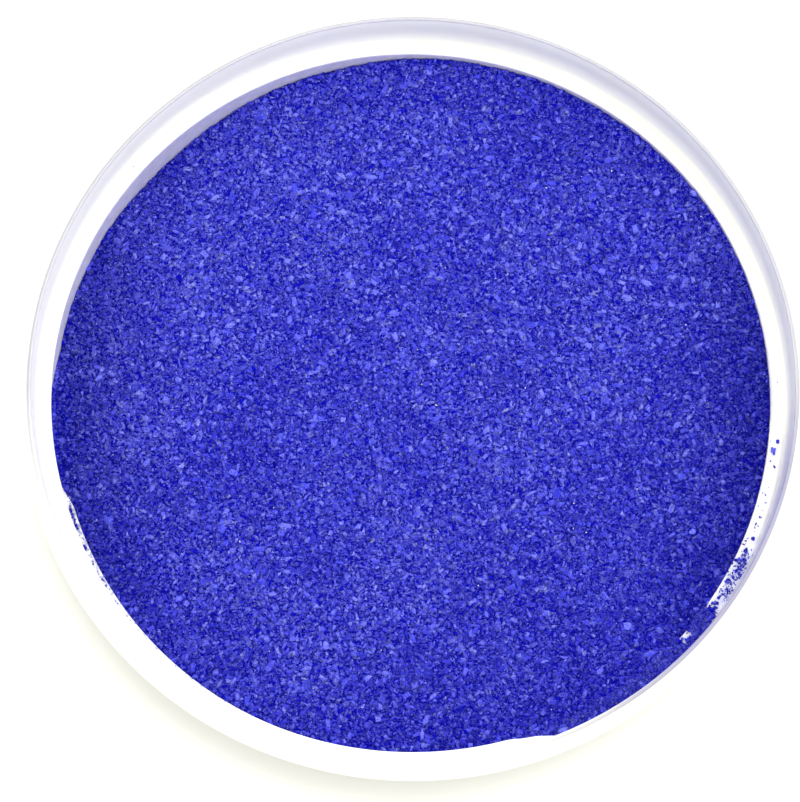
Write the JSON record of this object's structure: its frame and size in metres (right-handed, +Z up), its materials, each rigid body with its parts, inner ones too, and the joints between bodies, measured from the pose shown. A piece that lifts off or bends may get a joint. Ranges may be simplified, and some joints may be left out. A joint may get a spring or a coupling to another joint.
{
  "type": "crystallizing dish",
  "caption": "Shallow round white plastic dish, shaped like an upturned screw lid with a helical inner shelf, filled with fine blue crystals.",
  "frame": {"origin": "centre of the underside, on the surface the dish stands on", "axes": "+Z up along the axis of the dish; -Y towards the front, where the inner shelf starts; +X to the right"},
  "size_m": [0.0948, 0.0948, 0.017],
  "materials": {
    "dish_plastic": "satin",
    "crystal": "satin",
    "pale_crystal": "satin"
  },
  "bodies": {
    "root": {"dish_body": "dish_plastic", "crystal_bed": "crystal", "crystal_drift": "crystal", "shelf_crystal_1": "crystal", "shelf_crystal_2": "crystal", "shelf_crystal_3": "crystal", "shelf_crystal_4": "crystal", "shelf_crystal_5": "crystal", "shelf_crystal_6": "crystal", "bed_flake_1": "pale_crystal", "bed_flake_2": "pale_crystal", "bed_flake_3": "pale_crystal", "bed_flake_4": "pale_crystal", "bed_flake_5": "pale_crystal", "bed_flake_6": "pale_crystal", "bed_flake_7": "pale_crystal", "bed_flake_8": "pale_crystal"}
  },
  "joints": []
}
